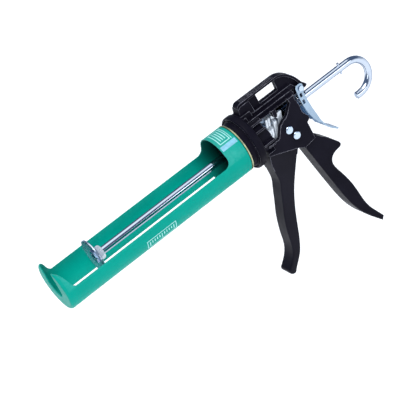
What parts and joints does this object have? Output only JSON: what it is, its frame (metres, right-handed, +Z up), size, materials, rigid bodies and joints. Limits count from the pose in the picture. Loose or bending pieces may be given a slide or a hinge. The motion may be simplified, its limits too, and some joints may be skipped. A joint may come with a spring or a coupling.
{
  "type": "caulking gun",
  "caption": "Hand caulking gun with an open swivelling cartridge cradle, a hooked thrust rod, a gripping-plate drive, a hand trigger and a thumb release lever.",
  "frame": {"origin": "on the thrust rod axis, in the plane where the cradle meets the swivel washer", "axes": "+X forward along the rod to the nozzle end, +Z up with the handles hanging down, +Y the gun's left side"},
  "size_m": [0.4143, 0.062, 0.2242],
  "materials": {
    "green_paint": "gloss teal-green enamel",
    "black_casting": "semi-matte black powder coat on die-casting",
    "bright_rod": "bright drawn and plated steel",
    "zinc_plate": "bright zinc plate",
    "brass_washer": "dull brass",
    "dark_steel": "black oxide",
    "spring_steel": "zinc-plated spring wire"
  },
  "bodies": {
    "frame": {"body_casting": "black_casting", "front_rod_bush": "zinc_plate", "rear_guide_plate": "zinc_plate", "trigger_pivot_rivet": "zinc_plate", "trigger_stop_rivet": "zinc_plate", "carriage_nut": "dark_steel", "carriage_washer": "dark_steel", "swivel_washer": "brass_washer", "lever_pivot_pin": "zinc_plate", "drive_spring": "spring_steel", "brake_spring": "spring_steel"},
    "cradle": {"cradle": "green_paint", "cradle_backing_plate": "green_paint"},
    "piston": {"piston_plate": "zinc_plate"},
    "rod": {"thrust_rod": "bright_rod", "rod_stop_pin": "bright_rod", "piston_rear_nut": "zinc_plate", "piston_front_nut": "zinc_plate"},
    "trigger": {"trigger": "black_casting", "trigger_fork": "zinc_plate"},
    "drive": {"drive_plate_rear": "zinc_plate", "drive_plate_middle": "zinc_plate", "drive_plate_front": "zinc_plate", "drive_spring_washer": "zinc_plate"},
    "lever": {"release_lever": "zinc_plate"}
  },
  "joints": [
    {"name": "cradle_swivel", "type": "hinge", "parent": "frame", "child": "cradle", "pos_m": [0, 0, 0], "axis": [1, 0, 0], "continuous": true},
    {"name": "rod_slide", "type": "slide", "parent": "frame", "child": "piston", "axis": [1, 0, 0], "range_m": [-0.157, 0.03]},
    {"name": "rod_turn", "type": "hinge", "parent": "piston", "child": "rod", "pos_m": [0.18, 0, 0], "axis": [1, 0, 0], "continuous": true},
    {"name": "trigger_pull", "type": "hinge", "parent": "frame", "child": "trigger", "pos_m": [-0.062, 0, -0.023], "axis": [0, 1, 0], "range_deg": [0, 26], "stiffness_Nm_per_rad": 0.5, "springref_deg": -20.05},
    {"name": "drive_slide", "type": "slide", "parent": "frame", "child": "drive", "axis": [1, 0, 0], "range_m": [0, 0.0108], "deforming": ["drive_spring"]},
    {"name": "lever_tilt", "type": "hinge", "parent": "frame", "child": "lever", "pos_m": [-0.091, 0, 0.0146], "axis": [0, 1, 0], "range_deg": [-7, 0], "stiffness_Nm_per_rad": 0.3, "springref_deg": 17.19, "deforming": ["brake_spring"]}
  ],
  "couplings": [
    {"joint": "drive_slide", "follows": "trigger_pull", "m_per_rad": 0.0237}
  ]
}
